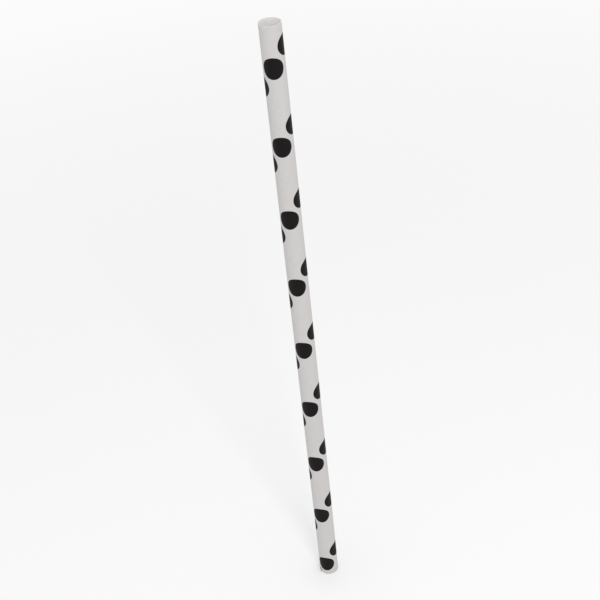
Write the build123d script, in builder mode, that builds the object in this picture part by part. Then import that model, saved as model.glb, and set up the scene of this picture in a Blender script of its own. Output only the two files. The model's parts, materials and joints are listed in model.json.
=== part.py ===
from build123d import *
from math import ceil
import os

# A paper drinking straw: strips of paper wound round a rod and glued into one tube,
# cut square at both ends. It stands on its foot on the plane Z = 0, with the origin
# under its middle and the end that is drunk from at the top. Its front faces -Y.

# Driving dimensions, in millimetres
straw_length = 197.0
straw_diameter = 6.0
wall_thickness = 0.4
cut_edge_radius = 0.08

# The outer strip of paper. Its lead is how far it climbs in one turn, the seam is the
# fine gap between one turn and the next, and the last value is how far below the
# drinking end the seam first crosses the front of the straw.
strip_lead = 22.5
seam_width = 0.14
seam_depth = 0.05
seam_to_drinking_end = 22.25

# What follows from them
outer_radius = straw_diameter / 2
bore_radius = outer_radius - wall_thickness
middle_radius = (outer_radius + bore_radius) / 2

# The turns of the seam, one lead apart, run past both cut ends. Each starts on the
# +X side, a quarter of a turn after it has crossed the front.
seam_crossing = straw_length - seam_to_drinking_end
upper_turn_start = seam_crossing + strip_lead / 4
turns_above = ceil(seam_to_drinking_end / strip_lead) + 1
turns_below = ceil(upper_turn_start / strip_lead) + 1
turn_starts = [(0, 0, upper_turn_start + turn * strip_lead) for turn in range(-turns_below, turns_above)]

# One turn of the seam, as the space that it leaves: a V whose point is in the paper
# and whose mouth is as far outside it, carried up a right-handed helix.
with BuildPart() as seam_turn:
    with BuildLine() as seam_path:
        Helix(pitch=strip_lead, height=strip_lead, radius=outer_radius)
    across_seam = Plane(origin=seam_path.line @ 0, x_dir=(1, 0, 0), z_dir=seam_path.line % 0)
    with BuildSketch(across_seam):
        with BuildLine():
            Polyline(
                (-seam_depth, 0),
                (seam_depth, seam_width),
                (seam_depth, -seam_width),
                close=True,
            )
        make_face()
    sweep(path=seam_path.line, is_frenet=True)

# The tube: its wall seen lengthwise, with the four edges of the cuts a little rounded,
# turned about the straw's axis, and the seam let into its outside turn by turn.
with BuildPart() as straw_tube:
    with BuildSketch(Plane.XZ) as wall_section:
        with Locations((middle_radius, straw_length / 2)):
            Rectangle(wall_thickness, straw_length)
        fillet(wall_section.vertices(), radius=cut_edge_radius)
    revolve(axis=Axis.Z)
    with Locations(*turn_starts):
        add(seam_turn.part, mode=Mode.SUBTRACT)

straw_tube.part.label = "straw_tube"

os.makedirs("parts", exist_ok=True)
export_step(straw_tube.part, "parts/straw_tube.step")
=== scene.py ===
import json
from math import ceil, floor, hypot, pi, radians

import bpy
import numpy as np
from mathutils import Matrix, Vector


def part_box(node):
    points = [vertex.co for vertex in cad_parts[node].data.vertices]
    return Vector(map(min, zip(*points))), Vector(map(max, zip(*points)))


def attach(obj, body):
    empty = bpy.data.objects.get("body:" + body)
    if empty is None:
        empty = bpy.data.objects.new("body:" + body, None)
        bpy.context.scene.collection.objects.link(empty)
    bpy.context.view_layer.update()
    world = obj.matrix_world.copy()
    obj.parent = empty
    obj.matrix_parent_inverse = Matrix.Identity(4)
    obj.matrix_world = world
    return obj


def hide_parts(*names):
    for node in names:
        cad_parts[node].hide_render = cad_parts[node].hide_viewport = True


# A paper drinking straw with one row of dots wound round it. The frame holds its plain
# tube, and this script dresses it: the wound paper with its print, the cut ends with
# their plies, and the paper inside.

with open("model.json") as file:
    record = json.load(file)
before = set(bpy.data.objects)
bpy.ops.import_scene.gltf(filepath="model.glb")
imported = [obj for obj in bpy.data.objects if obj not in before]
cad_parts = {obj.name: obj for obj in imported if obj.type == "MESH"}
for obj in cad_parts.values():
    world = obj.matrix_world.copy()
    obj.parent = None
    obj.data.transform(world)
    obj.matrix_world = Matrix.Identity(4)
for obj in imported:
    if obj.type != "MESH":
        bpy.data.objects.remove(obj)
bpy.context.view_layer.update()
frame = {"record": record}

# The tube's own sizes come from the frame. Lengths are in millimetres until a mesh is made.
MM = 0.001
foot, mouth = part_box("straw_tube")
mounts = {mount["name"]: mount["dims"] for mount in frame["record"]["mounts"]}
LENGTH = (mouth.z - foot.z) / MM
OUTER_RADIUS = mounts["outside"]["r_mm"]
BORE_RADIUS = mounts["bore"]["r_mm"]
WALL = OUTER_RADIUS - BORE_RADIUS
EDGE_RADIUS = (LENGTH - mounts["outside"]["length_mm"]) / 2

# The winding. Each strip climbs one lead in a turn. Its seam is a small valley, and is
# given by how far below the mouth it first crosses the front of the straw.
LEAD = 22.5
OUTER_SEAM = {"below_mouth": 22.25, "half_width": 0.08, "depth": 0.05}
BORE_SEAM = {"below_mouth": 14.0, "half_width": 0.09, "depth": 0.035}
PLIES = 3

# The print: round dots in one row along the middle of the outer strip.
DOT_RADIUS = 3.0
DOT_PITCH = 7.37
FIRST_DOT_BELOW_MOUTH = 11.49
FIRST_DOT_ANGLE = radians(8.1)

# The cut edges: how far each ply's edge waves up and down, how many times its waves go
# round the tube, and the fine valleys that part the plies.
RAGGEDNESS = 0.005
CUT_WAVES = (2, 3, 5, 9, 14, 23, 37)
PLY_LINE_DEPTH = 0.012
PLY_LINE_HALF_WIDTH = 0.022

# The colours of the white outside, of the bare paper in the cuts and the bore, and of
# the ink, and how the ink's rim wanders and blurs. The bare paper is lighter than the
# outside partly as its own tone and partly as painted light, which lifts the shaded bore
# and brightens the cut rims. In the bore, light goes through the bare paper, and spreads
# this many metres in it.
PAPER = (0.640, 0.622, 0.610)
BARE_PAPER_AND_PAINTED_LIGHT = (0.700, 0.685, 0.667)
INK = (0.0065, 0.0048, 0.0052)
INK_BLEED = 0.09
INK_SOFTNESS = 0.035
LIGHT_IN_PAPER = 0.002

# The paper's structure: how far its tone goes up and down, and how high its fibres
# stand, outside, in the bore and on the cuts. The ink takes less of it and mottles more.
CLOUDINESS = {"outside": 0.08, "bore": 0.09, "cut": 0.12}
FIBRE_HEIGHT = {"outside": 0.06, "bore": 0.06, "cut": 0.04}
FIBRE_UNDER_INK = 0.7
INK_MOTTLE = 4.0

# The noises that make this structure and the ink's wandering rim, with their waves in a
# millimetre. The fibres have few waves along the strip and many across it. The tone
# takes a share of the fibres besides the clouds, and the height one of the pulp.
CLOUDS = {"scale": 0.55, "detail": 3.0}
FIBRES = {"scale": 1.0, "detail": 3.0, "roughness": 0.65}
FIBRE_WAVES = (1.3, 6.5, 1.0)
PULP = {"scale": 9.0, "detail": 2.0}
INK_RIM = {"scale": 3.5, "detail": 3.0}
FIBRES_IN_TONE = 0.5
PULP_IN_HEIGHT = 0.4

# How much darker a seam and a line between two plies are, and how far a seam's shade
# reaches from it.
SEAM_SHADE = 0.05
SEAM_REACH = {"outside": 0.07, "bore": 0.09}
PLY_LINE_SHADE = 0.18

# How finely the tube is divided: columns round it, rows of each strip, and steps round
# a rounded edge. A row that passes a cut end closer than ROW_TO_RING ends on its ring.
COLUMNS = 192
ROWS_BESIDE_OUTER_SEAM = (0, 0.02, 0.04, 0.06, 0.08, 0.11, 0.25)
ROWS_BESIDE_BORE_SEAM = (0, 0.045, 0.09, 0.25)
ROWS_ACROSS_STRIP = 8
STEPS_ROUND_EDGE = 4
ROW_TO_RING = 0.01

# The regions of the surface, and the material slot of each: 0 for the printed paper, 1
# for the cut edges and 2 for the paper in the bore.
OUTSIDE, CUT_AT_MOUTH, CUT_AT_FOOT, BORE = range(4)
SLOT_OF_REGION = np.array([0, 1, 1, 2])


def strip_course(radius):
    """The way that a strip takes on the unrolled tube, and its width.

    Unrolled, a turn is as wide as the tube's circumference and climbs one lead. The
    strip runs along the diagonal of that box, and its width is the box's area divided
    by the diagonal.
    """
    around = 2 * pi * radius
    along = hypot(around, LEAD)
    return around / along, LEAD / along, around * LEAD / along


def turns_from_seam(angle, depth, seam):
    """How many turns a point lies past the first seam, which is whole on a seam.

    It is the depth below the seam's crossing at the front, counted in leads, less the
    angle, counted in turns.
    """
    return (depth - seam["below_mouth"]) / LEAD - angle / (2 * pi)


def seam_valley(angle, depth, radius, seam):
    """How deep the seam's valley is at a point.

    It is half the seam's depth times one plus the cosine of the distance from the
    nearest seam, where the half width counts as half a turn.
    """
    turns = turns_from_seam(angle, depth, seam)
    distance = np.abs(turns - np.round(turns)) * strip_course(radius)[2]
    share = np.minimum(distance / seam["half_width"], 1)
    return seam["depth"] * (0.5 + 0.5 * np.cos(pi * share))


def strip_rows(beside, radius, seam):
    """The places of a wall's rows, in turns past the first seam, and how many a turn has.

    They stand at the distances in beside on both sides of each seam, and are evenly
    spread over the rest of the strip. They start a turn above the mouth, so that the
    last column meets the first one a turn lower, and end below the foot.
    """
    near = np.array(beside) / strip_course(radius)[2]
    across = np.linspace(near[-1], 1 - near[-1], ROWS_ACROSS_STRIP + 2)[1:-1]
    one_turn = np.concatenate([near, across, 1 - near[:0:-1]])
    first = -ceil(seam["below_mouth"] / LEAD) - 1
    last = ceil((LENGTH - seam["below_mouth"]) / LEAD) + 1
    rows = np.arange(first, last)[:, None] + one_turn
    return rows.ravel(), len(one_turn)


def column_angles():
    """The columns' angles, from 0 to a full turn, where the last is the first again."""
    return np.arange(COLUMNS + 1) * 2 * pi / COLUMNS


class Points:
    """The mesh's vertices, gathered block by block."""

    def __init__(self):
        self.blocks = []
        self.count = 0

    def add(self, angle, depth, radius):
        """Places points, and returns their numbers in the mesh.

        X and Y are minus the radius times the angle's sine and cosine, and Z is the
        length less the depth.
        """
        place = np.stack([-radius * np.sin(angle), -radius * np.cos(angle), LENGTH - depth], -1)
        self.blocks.append(place.reshape(-1, 3) * MM)
        first = self.count
        self.count += place.size // 3
        return np.arange(first, self.count).reshape(place.shape[:-1])


def skin(vertex, angle, travel, region):
    """The faces of a grid, each with its region and four corners.

    A corner has its vertex, its angle and its travel, which is its depth below the
    mouth, or how far it is over a cut edge. The corners go round as seen from outside.
    """
    around = []
    for grid in (vertex, angle, travel):
        grid = np.broadcast_to(grid, vertex.shape)
        corners = [grid[:-1, :-1], grid[:-1, 1:], grid[1:, 1:], grid[1:, :-1]]
        around.append(np.stack(corners, -1).reshape(-1, 4))
    return (*around, np.full((len(around[0]), 1), region))


def ragged_edge(seed):
    """How far each ply's cut edge lies below the cut, for every column.

    It is a sum of waves round the tube, of whole numbers and random phases, shifted so
    that the highest point of each ply is at the cut.
    """
    rng = np.random.default_rng(seed)
    waves = np.array(CUT_WAVES)[:, None]
    phase = rng.uniform(0, 2 * pi, (PLIES, len(waves), 1))
    height = (np.cos(waves * column_angles() + phase) / waves**0.5).sum(1) * RAGGEDNESS
    return height.max(1, keepdims=True) - height


def end_profile():
    """The section of a cut end from the outside to the bore, ring by ring.

    Gives each ring's distance inwards, its drop below the cut, its share in the outer
    seam, and its ply. Both edges are quarter circles, and the lines between the plies
    are fine valleys in the flat between them, which has one more ring in its middle.
    """
    bend = np.linspace(0, pi / 2, STEPS_ROUND_EDGE + 1)
    inwards = EDGE_RADIUS * (1 - np.cos(bend))
    drop = EDGE_RADIUS * (1 - np.sin(bend))
    lines = WALL * np.arange(1, PLIES) / PLIES
    beside = [lines - PLY_LINE_HALF_WIDTH, lines, lines + PLY_LINE_HALF_WIDTH, [WALL / 2]]
    flat = np.sort(np.concatenate(beside))
    flat_drop = np.where(np.isin(flat, lines), PLY_LINE_DEPTH, 0)
    seam_share = np.append(np.cos(bend), np.zeros(len(flat) + len(bend)))
    inwards = np.concatenate([inwards, flat, WALL - inwards[::-1]])
    drop = np.concatenate([drop, flat_drop, drop[::-1]])
    ply = np.minimum(inwards / WALL * PLIES, PLIES - 1).astype(int)
    return inwards[:, None], drop[:, None], seam_share[:, None], ply


def travel_over(inwards, drop):
    """How far each ring is from the first along the profile, the sum of the steps before it."""
    steps = np.hypot(np.diff(inwards, axis=0), np.diff(drop, axis=0))
    return np.append(0, np.cumsum(steps))[:, None]


def cut_end(points, at_mouth):
    """Adds a cut end as rings round the profile, and returns its faces and outermost rings.

    A ring's radius is the outer one less its distance inwards, with the valleys of the
    two seams running out over the rounded edges. Its depth is its drop and its ply's
    raggedness, down from the cut at the mouth and up from the cut at the foot.
    """
    inwards, drop, seam_share, ply = end_profile()
    angle = column_angles()
    flatness = 1 - drop.clip(0, EDGE_RADIUS) / EDGE_RADIUS
    lower = drop + flatness * ragged_edge(int(at_mouth))[ply]
    depth = lower if at_mouth else LENGTH - lower
    outer_valley = seam_share * seam_valley(angle, depth, OUTER_RADIUS, OUTER_SEAM)
    bore_valley = seam_share[::-1] * seam_valley(angle, depth, BORE_RADIUS, BORE_SEAM)
    radius = OUTER_RADIUS - inwards - outer_valley + bore_valley

    angles = np.broadcast_to(angle, radius.shape)
    ring = points.add(angles[:, :-1], depth[:, :-1], radius[:, :-1])
    vertex = np.hstack([ring, ring[:, :1]])
    travel = travel_over(inwards, drop)
    printed = slice(0, STEPS_ROUND_EDGE // 2 + 1)
    bare = slice(STEPS_ROUND_EDGE // 2, None)
    turned = slice(None, None, -1) if at_mouth else slice(None)
    cut = CUT_AT_MOUTH if at_mouth else CUT_AT_FOOT
    faces = [
        skin(vertex[printed][turned], angle, depth[printed][turned], OUTSIDE),
        skin(vertex[bare][turned], angle, travel[bare][turned], cut),
    ]
    return faces, ring[0], ring[-1]


def wound_wall(points, radius, seam, beside, high_ring, low_ring, region):
    """Adds the outside or the bore, in rows that follow the winding, and returns its faces.

    A row's depth is the seam's crossing plus one lead for each turn, of the angle and
    of the row's own place together. Rows stop at the rings of the cut ends. The radius
    is the wall's, less the seam's valley outside and plus it in the bore.
    """
    rows, per_turn = strip_rows(beside, radius, seam)
    angle = np.broadcast_to(column_angles(), (len(rows), COLUMNS + 1))
    depth = seam["below_mouth"] + LEAD * (angle / (2 * pi) + rows[:, None])
    top, bottom = EDGE_RADIUS, LENGTH - EDGE_RADIUS
    above = depth < top + ROW_TO_RING
    below = depth > bottom - ROW_TO_RING
    depth = depth.clip(top, bottom)
    valley = seam_valley(angle, depth, radius, seam)
    radius = radius + valley if region == BORE else radius - valley

    free = ~(above | below)[:, :-1]
    vertex = np.where(above[:, :-1], high_ring, low_ring)
    vertex[free] = points.add(angle[:, :-1][free], depth[:, :-1][free], radius[:, :-1][free])
    past_last = np.full(per_turn, low_ring[0])
    a_turn_on = np.append(vertex[per_turn:, 0], past_last)
    vertex = np.hstack([vertex, a_turn_on[:, None]])
    if region == BORE:
        vertex, angle, depth = vertex[::-1], angle[::-1], depth[::-1]
    return [skin(vertex, angle, depth, region)]


# The layout of the bake's map, in millimetres of the outside: three columns with a third
# of its length each, the bore as a fourth at a third of its size, and the cut edges
# enlarged above the first two columns.
MAP_COLUMNS = 3
CUT_COLUMNS = (0, 1)
MAP_GAP = 0.5
MAP_OVERHANG = 1.5
BORE_ON_MAP = 1 / 3
CUT_ON_MAP = 3.0


def bake_places(angle, travel, region):
    """Where each corner lies on the bake's map, from 0 to 1 both ways.

    The outside and the mouth's cut run against the angle, and the bore and the foot's cut
    with it, so that each is seen from its own side. Up on the map is up the straw, or
    inwards on a cut.
    """
    turn = 2 * pi * OUTER_RADIUS
    stretch = LENGTH / MAP_COLUMNS
    wall_top = 2 * MAP_OVERHANG + stretch
    width = MAP_COLUMNS * (turn + MAP_GAP) + turn * BORE_ON_MAP + 2 * MAP_GAP
    height = wall_top + 2 * MAP_GAP + CUT_ON_MAP * (WALL + EDGE_RADIUS)

    part = (travel.mean(1, keepdims=True) // stretch).clip(0, MAP_COLUMNS - 1)
    column = np.choose(region, [part, *CUT_COLUMNS, MAP_COLUMNS])
    share = angle / (2 * pi)
    with_angle = (region == BORE) | (region == CUT_AT_FOOT)
    round_on_map = np.where(region == BORE, BORE_ON_MAP, 1) * turn
    across = np.where(with_angle, share, 1 - share) * round_on_map
    up_outside = MAP_OVERHANG + stretch * (column + 1) - travel
    up_cut = wall_top + MAP_GAP + CUT_ON_MAP * travel
    up_bore = MAP_OVERHANG + (LENGTH - travel) * BORE_ON_MAP
    up = np.choose(region, [up_outside, up_cut, up_cut, up_bore])
    return np.stack([(MAP_GAP + column * (turn + MAP_GAP) + across) / width, up / height], -1)


def make_straw():
    """The straw as one closed mesh: its two cut ends, its outside and its bore."""
    points = Points()
    mouth_faces, outer_high, bore_high = cut_end(points, True)
    foot_faces, outer_low, bore_low = cut_end(points, False)
    outside = (OUTER_RADIUS, OUTER_SEAM, ROWS_BESIDE_OUTER_SEAM, outer_high, outer_low, OUTSIDE)
    inside = (BORE_RADIUS, BORE_SEAM, ROWS_BESIDE_BORE_SEAM, bore_high, bore_low, BORE)
    faces = mouth_faces + foot_faces
    faces += wound_wall(points, *outside) + wound_wall(points, *inside)
    vertex, angle, travel, region = (np.concatenate(parts) for parts in zip(*faces))

    # A corner that repeats the one before it is left out, and a face with under three is too.
    corner = vertex != np.roll(vertex, 1, axis=1)
    shown = corner.sum(1) > 2
    grids = (vertex, angle, travel, region, corner)
    vertex, angle, travel, region, corner = (grid[shown] for grid in grids)

    mesh = bpy.data.meshes.new("printed_straw")
    mesh.vertices.add(points.count)
    mesh.vertices.foreach_set("co", np.concatenate(points.blocks).ravel())
    mesh.loops.add(int(corner.sum()))
    mesh.loops.foreach_set("vertex_index", vertex[corner])
    mesh.polygons.add(len(vertex))
    mesh.polygons.foreach_set("loop_start", np.append(0, np.cumsum(corner.sum(1))[:-1]))
    mesh.update(calc_edges=True)
    mesh.polygons.foreach_set("use_smooth", np.ones(len(vertex), bool))
    mesh.polygons.foreach_set("material_index", SLOT_OF_REGION[region].ravel())

    radius = np.where(region == BORE, BORE_RADIUS, OUTER_RADIUS)
    unrolled = np.stack([radius * angle, travel], -1)[corner]
    mesh.uv_layers.new(name="unrolled").uv.foreach_set("vector", unrolled.ravel())
    baked = bake_places(angle, travel, region)[corner]
    mesh.uv_layers.new(name="OFBake").uv.foreach_set("vector", baked.ravel())

    piece = bpy.data.objects.new("printed_straw", mesh)
    bpy.context.scene.collection.objects.link(piece)
    return piece


def add_node(tree, kind, inputs=(), **settings):
    """Adds a node, sets its properties, and gives its inputs numbers or links."""
    made = tree.nodes.new(kind)
    for name, value in settings.items():
        setattr(made, name, value)
    for socket, value in dict(inputs).items():
        if isinstance(value, bpy.types.NodeSocket):
            tree.links.new(value, made.inputs[socket])
        else:
            made.inputs[socket].default_value = value
    return made


def maths(tree, operation, *values):
    """The result of a Math node with these values."""
    return add_node(tree, "ShaderNodeMath", enumerate(values), operation=operation).outputs[0]


def smooth_range(tree, value, start, end, at_start, at_end):
    """The value, taken smoothly from one range to another."""
    ranges = {"From Min": start, "From Max": end, "To Min": at_start, "To Max": at_end}
    inputs = {"Value": value, **ranges}
    node = add_node(tree, "ShaderNodeMapRange", inputs, interpolation_type="SMOOTHSTEP")
    return node.outputs[0]


def flat_place(tree, along, across):
    """The point of the flat strip that is this far along and across."""
    return add_node(tree, "ShaderNodeCombineXYZ", {"X": along, "Y": across}).outputs[0]


def length_of(tree, place):
    """How far a place is from the origin."""
    node = add_node(tree, "ShaderNodeVectorMath", {0: place}, operation="LENGTH")
    return node.outputs["Value"]


def unrolled_place(tree):
    """The way round and the travel of a point, from the piece's own unrolled map."""
    unrolled = add_node(tree, "ShaderNodeUVMap", uv_map="unrolled").outputs[0]
    part = add_node(tree, "ShaderNodeSeparateXYZ", {0: unrolled}).outputs
    return part["X"], part["Y"]


def noise(tree, place, scale, detail, roughness=0.5):
    """A noise about 0, from -0.5 to 0.5, at this many waves a millimetre."""
    inputs = {"Vector": place, "Scale": scale, "Detail": detail, "Roughness": roughness}
    found = add_node(tree, "ShaderNodeTexNoise", inputs).outputs["Fac"]
    return maths(tree, "SUBTRACT", found, 0.5)


def new_group(name, inputs, outputs):
    """A node group of plain numbers, with what it is given and what it results in."""
    tree = bpy.data.node_groups.new(name, "ShaderNodeTree")
    for label in inputs:
        tree.interface.new_socket(label, in_out="INPUT", socket_type="NodeSocketFloat")
    for label in outputs:
        tree.interface.new_socket(label, in_out="OUTPUT", socket_type="NodeSocketFloat")
    given = tree.nodes.new("NodeGroupInput").outputs
    result = tree.nodes.new("NodeGroupOutput").inputs
    return tree, given, result


def winding_group():
    """Where a point of the unrolled wall lies on its strip.

    The turns are the depth below the seam's crossing, counted in leads, less the way
    round, counted in circumferences. What they have past a whole number, less a half,
    times the strip's width is the place across it. The place along it is the way round
    with that whole number of turns, and the depth, each by the strip's own slope.
    """
    inputs = ("Around", "Depth", "Circumference", "Crossing", "Width", "Run", "Climb")
    tree, given, result = new_group("strip_winding", inputs, ("Along", "Across"))
    below = maths(tree, "SUBTRACT", given["Depth"], given["Crossing"])
    leads = maths(tree, "DIVIDE", below, LEAD)
    way_round = maths(tree, "DIVIDE", given["Around"], given["Circumference"])
    turns = maths(tree, "SUBTRACT", leads, way_round)
    whole = maths(tree, "FLOOR", turns)
    past_middle = maths(tree, "SUBTRACT", maths(tree, "SUBTRACT", turns, whole), 0.5)
    across = maths(tree, "MULTIPLY", past_middle, given["Width"])
    wound = maths(tree, "MULTIPLY_ADD", whole, given["Circumference"], given["Around"])
    climbed = maths(tree, "MULTIPLY", given["Depth"], given["Climb"])
    along = maths(tree, "MULTIPLY_ADD", wound, given["Run"], climbed)
    tree.links.new(along, result["Along"])
    tree.links.new(across, result["Across"])
    return tree


def paper_group():
    """The paper's own structure: soft clouds, fibres that lie along the strip, and pulp.

    Tone is a factor about 1 for the colour, and Height is in millimetres. Both are sums
    of noises, of which the fibres are stretched along the strip.
    """
    inputs = ("Along", "Across", "Cloudiness", "Fibre height")
    tree, given, result = new_group("paper_fibre", inputs, ("Tone", "Height"))
    flat = flat_place(tree, given["Along"], given["Across"])
    lengthwise = add_node(
        tree, "ShaderNodeVectorMath", {0: flat, 1: FIBRE_WAVES}, operation="MULTIPLY"
    ).outputs[0]
    clouds = noise(tree, flat, **CLOUDS)
    fibres = noise(tree, lengthwise, **FIBRES)
    pulp = noise(tree, flat, **PULP)
    tones = maths(tree, "MULTIPLY_ADD", fibres, FIBRES_IN_TONE, clouds)
    tone = maths(tree, "MULTIPLY_ADD", tones, given["Cloudiness"], 1.0)
    heights = maths(tree, "MULTIPLY_ADD", pulp, PULP_IN_HEIGHT, fibres)
    height = maths(tree, "MULTIPLY", heights, given["Fibre height"])
    tree.links.new(tone, result["Tone"])
    tree.links.new(height, result["Height"])
    return tree


def seam_group():
    """How near a point is to a seam: 1 on it, and smoothly 0 at the reach from it."""
    tree, given, result = new_group("strip_seam", ("Across", "Width", "Reach"), ("Nearness",))
    half = maths(tree, "MULTIPLY", given["Width"], 0.5)
    distance = maths(tree, "SUBTRACT", half, maths(tree, "ABSOLUTE", given["Across"]))
    nearness = smooth_range(tree, distance, 0.0, given["Reach"], 1.0, 0.0)
    tree.links.new(nearness, result["Nearness"])
    return tree


def new_material(name, specular, roughness):
    """A material with its shader, whose plain numbers are set on the shader itself."""
    material = bpy.data.materials.new(name)
    material.use_nodes = True
    shader = material.node_tree.nodes["Principled BSDF"]
    shader.inputs["Specular IOR Level"].default_value = specular
    shader.inputs["Roughness"].default_value = roughness
    return material, material.node_tree, shader


def on_strip(tree, radius, seam):
    """The along and across of a wall's strip, and the strip's width."""
    around, depth = unrolled_place(tree)
    run, climb, width = strip_course(radius)
    course = {"Circumference": 2 * pi * radius, "Width": width, "Run": run, "Climb": climb}
    place = {"Around": around, "Depth": depth, "Crossing": seam["below_mouth"]}
    winding = add_node(tree, "ShaderNodeGroup", course | place, node_tree=strip_winding)
    return winding.outputs["Along"], winding.outputs["Across"], width


def first_dot_along():
    """How far along the strip the first dot is, in the measure of the winding group."""
    run, climb, _ = strip_course(OUTER_RADIUS)
    turns = floor(turns_from_seam(FIRST_DOT_ANGLE, FIRST_DOT_BELOW_MOUTH, OUTER_SEAM))
    around = OUTER_RADIUS * (FIRST_DOT_ANGLE + 2 * pi * turns)
    return around * run + FIRST_DOT_BELOW_MOUTH * climb


def inked(tree, along, across):
    """1 where a dot is printed, and 0 on the white.

    The place along the strip, from the nearest dot, and the place across it make the
    distance from that dot's middle, which a little noise moves in and out at the rim.
    """
    from_first = maths(tree, "SUBTRACT", along, first_dot_along())
    nearest = maths(tree, "WRAP", from_first, DOT_PITCH / 2, -DOT_PITCH / 2)
    distance = length_of(tree, flat_place(tree, nearest, across))
    wandering = noise(tree, flat_place(tree, along, across), **INK_RIM)
    bleed = maths(tree, "MULTIPLY", wandering, INK_BLEED)
    rim = maths(tree, "ADD", distance, bleed)
    inner, outer = DOT_RADIUS - INK_SOFTNESS, DOT_RADIUS + INK_SOFTNESS
    return smooth_range(tree, rim, inner, outer, 1.0, 0.0)


def toned(tree, colour, factor):
    """A colour times a factor that changes over the surface."""
    return add_node(
        tree, "ShaderNodeVectorMath", {0: colour, "Scale": factor}, operation="SCALE"
    ).outputs[0]


# A Mix node has sockets for each kind of data. These are the ones that it uses for colour.
MIX_FACTOR, MIX_FIRST, MIX_SECOND, MIX_RESULT = 0, 6, 7, 2


def mixed(tree, factor, first, second):
    """A colour that goes from the first to the second with the factor."""
    inputs = {MIX_FACTOR: factor, MIX_FIRST: first, MIX_SECOND: second}
    return add_node(tree, "ShaderNodeMix", inputs, data_type="RGBA").outputs[MIX_RESULT]


def bumped(tree, shader, height):
    """Gives the shader the relief of a height in millimetres."""
    bump = add_node(tree, "ShaderNodeBump", {"Height": height, "Strength": 1.0, "Distance": MM})
    tree.links.new(bump.outputs[0], shader.inputs["Normal"])


def fibred(tree, along, across, part):
    """The tone and the height of the paper in one part of the straw."""
    values = {"Cloudiness": CLOUDINESS[part], "Fibre height": FIBRE_HEIGHT[part]}
    place = {"Along": along, "Across": across}
    return add_node(tree, "ShaderNodeGroup", place | values, node_tree=paper_fibre).outputs


def seamed(tree, tone, across, width, part):
    """The tone of a wall, darker in the seam of its strip."""
    place = {"Across": across, "Width": width, "Reach": SEAM_REACH[part]}
    near = add_node(tree, "ShaderNodeGroup", place, node_tree=strip_seam).outputs["Nearness"]
    return maths(tree, "MULTIPLY_ADD", near, -SEAM_SHADE, tone)


def printed_paper():
    """White wound paper with its row of black dots, matt all over."""
    material, tree, shader = new_material("printed_paper", specular=0.12, roughness=0.6)
    along, across, width = on_strip(tree, OUTER_RADIUS, OUTER_SEAM)
    fibre = fibred(tree, along, across, "outside")
    ink = inked(tree, along, across)
    mottle = maths(tree, "SUBTRACT", fibre["Tone"], 1.0)
    ink_tone = maths(tree, "MULTIPLY_ADD", mottle, INK_MOTTLE, 1.0)
    paper_tone = seamed(tree, fibre["Tone"], across, width, "outside")
    colour = mixed(tree, ink, toned(tree, PAPER, paper_tone), toned(tree, INK, ink_tone))
    tree.links.new(colour, shader.inputs["Base Color"])
    relief = smooth_range(tree, ink, 0.0, 1.0, 1.0, FIBRE_UNDER_INK)
    bumped(tree, shader, maths(tree, "MULTIPLY", fibre["Height"], relief))
    return material


def bore_paper():
    """The bare paper inside, its colour partly painted light that lifts the shaded bore, with
    the seam of its own strip, which light comes through.
    """
    material, tree, shader = new_material("bore_paper", specular=0.15, roughness=0.7)
    shader.inputs["Subsurface Weight"].default_value = 1.0
    shader.inputs["Subsurface Radius"].default_value = (1.0, 1.0, 1.0)
    shader.inputs["Subsurface Scale"].default_value = LIGHT_IN_PAPER
    along, across, width = on_strip(tree, BORE_RADIUS, BORE_SEAM)
    fibre = fibred(tree, along, across, "bore")
    tone = seamed(tree, fibre["Tone"], across, width, "bore")
    # The bare paper's colour is partly painted light, lifting the shade inside the bore.
    tree.links.new(toned(tree, BARE_PAPER_AND_PAINTED_LIGHT, tone), shader.inputs["Base Color"])
    bumped(tree, shader, fibre["Height"])
    return material


def cut_paper():
    """The cut edges: bare paper whose lighter colour is partly a painted highlight, a little
    darker in the lines between its plies.
    """
    material, tree, shader = new_material("cut_paper", specular=0.1, roughness=0.8)
    around, travel = unrolled_place(tree)
    fibre = fibred(tree, around, travel, "cut")
    inwards, drop, _, _ = end_profile()
    from_line = WALL
    for line in travel_over(inwards, drop)[drop == PLY_LINE_DEPTH]:
        away = maths(tree, "ABSOLUTE", maths(tree, "SUBTRACT", travel, float(line)))
        from_line = maths(tree, "MINIMUM", away, from_line)
    line = smooth_range(tree, from_line, 0.0, PLY_LINE_HALF_WIDTH, 1.0, 0.0)
    tone = maths(tree, "MULTIPLY_ADD", line, -PLY_LINE_SHADE, fibre["Tone"])
    # The bare paper's colour is partly a painted highlight on the cut rims.
    tree.links.new(toned(tree, BARE_PAPER_AND_PAINTED_LIGHT, tone), shader.inputs["Base Color"])
    bumped(tree, shader, fibre["Height"])
    return material


# The photograph's camera stands before the straw and above it, and is rolled a little.
# It is aimed so that the whole straw is in the picture. Places are in millimetres.
CAMERA_PLACE = Vector((0, -302.24, 324.95))
CAMERA_AIM = Vector((0, 0, 111.4))
CAMERA_ROLL = radians(-6.25)
CAMERA_LENS = 77.0

# The studio, in metres: an even sky, which gives less light than it shows, one soft lamp
# before the straw, on its right and above it, and a floor. To look at, the floor glows a
# little, and its glow grows from the first value to the second between two distances.
WHITE = (1.0, 1.0, 1.0, 1.0)
SKY_LIGHT = 0.83
KEY_PLACE = (0.13, -0.48, 0.55)
KEY_AIM = (0, 0, 0.14)
KEY_SIZE = 0.16
KEY_POWER = 1.0
FLOOR_SIZE = 6.0
FLOOR_COLOUR = (0.82, 0.82, 0.82, 1.0)
FLOOR_GLOW = (0.17, 0.33)
GLOW_GROWS = (0.15, 0.9)


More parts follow.
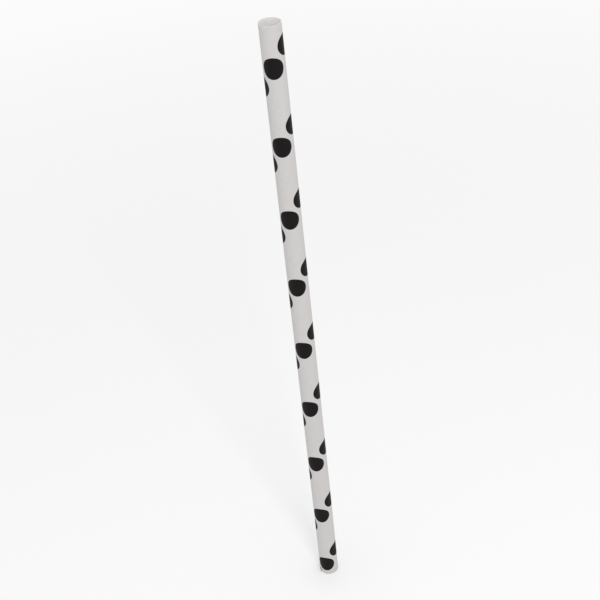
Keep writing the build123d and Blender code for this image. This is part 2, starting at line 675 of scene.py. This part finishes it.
def add_camera():
    """The camera, turned to its aim and then rolled about its own line of sight."""
    camera = bpy.data.objects.new("camera", bpy.data.cameras.new("camera"))
    camera.data.lens = CAMERA_LENS
    turn = (CAMERA_AIM - CAMERA_PLACE).to_track_quat("-Z", "Y").to_matrix()
    turn = turn @ Matrix.Rotation(CAMERA_ROLL, 3, "Z")
    camera.matrix_world = Matrix.LocRotScale(CAMERA_PLACE * MM, turn, None)
    bpy.context.scene.collection.objects.link(camera)
    bpy.context.scene.camera = camera


def add_lamp(name, place, aim, size, power):
    """A square soft lamp at a place in metres, turned to its aim."""
    lamp = bpy.data.objects.new(name, bpy.data.lights.new(name, "AREA"))
    lamp.data.size = size
    lamp.data.energy = power
    turn = (Vector(aim) - Vector(place)).to_track_quat("-Z", "Y").to_matrix()
    lamp.matrix_world = Matrix.LocRotScale(Vector(place), turn, None)
    bpy.context.scene.collection.objects.link(lamp)


def seen_directly(tree):
    """1 for what the camera, a reflection or a clear body shows, and 0 for plain light."""
    path = add_node(tree, "ShaderNodeLightPath").outputs
    seen = maths(tree, "MAXIMUM", path["Is Camera Ray"], path["Is Glossy Ray"])
    return maths(tree, "MAXIMUM", seen, path["Is Transmission Ray"])


def add_world():
    """An even sky, white to look at and a little dimmer as light."""
    world = bpy.data.worlds.new("studio")
    world.use_nodes = True
    tree = world.node_tree
    background = tree.nodes["Background"]
    background.inputs["Color"].default_value = WHITE
    brighter = maths(tree, "MULTIPLY_ADD", seen_directly(tree), 1 - SKY_LIGHT, SKY_LIGHT)
    tree.links.new(brighter, background.inputs["Strength"])
    bpy.context.scene.world = world


def add_floor():
    """A wide pale floor that takes the shadow, and to look at goes over into the white sky."""
    half = FLOOR_SIZE / 2
    corners = [(-half, -half, 0), (half, -half, 0), (half, half, 0), (-half, half, 0)]
    mesh = bpy.data.meshes.new("floor")
    mesh.from_pydata(corners, [], [(0, 1, 2, 3)])
    floor_piece = bpy.data.objects.new("floor", mesh)
    bpy.context.scene.collection.objects.link(floor_piece)
    material, tree, shader = new_material("floor", specular=0.0, roughness=0.9)
    shader.inputs["Base Color"].default_value = FLOOR_COLOUR
    shader.inputs["Emission Color"].default_value = WHITE
    place = add_node(tree, "ShaderNodeTexCoord").outputs["Object"]
    glow = smooth_range(tree, length_of(tree, place), *GLOW_GROWS, *FLOOR_GLOW)
    shown = maths(tree, "MULTIPLY", seen_directly(tree), glow)
    tree.links.new(shown, shader.inputs["Emission Strength"])
    mesh.materials.append(material)


strip_winding = winding_group()
paper_fibre = paper_group()
strip_seam = seam_group()

straw = make_straw()
for finish in (printed_paper(), cut_paper(), bore_paper()):
    straw.data.materials.append(finish)
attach(straw, "root")
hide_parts("straw_tube")

bpy.context.scene.view_settings.view_transform = "Standard"
add_camera()
add_lamp("key", KEY_PLACE, KEY_AIM, KEY_SIZE, KEY_POWER)
add_world()
add_floor()
